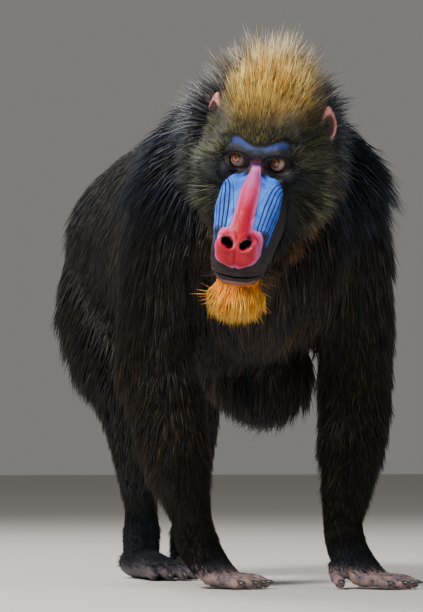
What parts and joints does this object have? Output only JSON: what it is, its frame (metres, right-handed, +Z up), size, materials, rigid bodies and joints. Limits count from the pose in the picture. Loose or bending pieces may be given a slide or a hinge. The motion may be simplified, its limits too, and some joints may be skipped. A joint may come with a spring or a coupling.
{
  "type": "mandrill model",
  "caption": "Still life-size model of an adult male mandrill on all fours, head turned to its right, with crest, ruff, beard and a long shaggy coat.",
  "frame": {"origin": "The floor under the middle of the animal: the centre of the footprint of its box, on the floor.", "axes": "+Z up, the animal faces -Y with its head turned towards -X, and +X is its own left."},
  "size_m": [0.4244, 1.0114, 0.7606],
  "materials": {
    "coat": "dense grizzled olive and black hair",
    "bare_skin": "bare creased skin of face, ears, hands and feet",
    "eye": "wet, glossy amber-brown eye",
    "nail": "dark polished nails"
  },
  "bodies": {
    "root": {"torso": "coat", "neck": "coat", "head": "coat", "ear_left": "bare_skin", "ear_right": "bare_skin", "eye_left": "eye", "eye_right": "eye", "upper_arm_left": "coat", "upper_arm_right": "coat", "forearm_left": "coat", "forearm_right": "coat", "hand_left": "bare_skin", "hand_right": "bare_skin", "thigh_left": "coat", "thigh_right": "coat", "shank_left": "coat", "shank_right": "coat", "foot_left": "bare_skin", "foot_right": "bare_skin", "tail": "coat"}
  },
  "joints": []
}
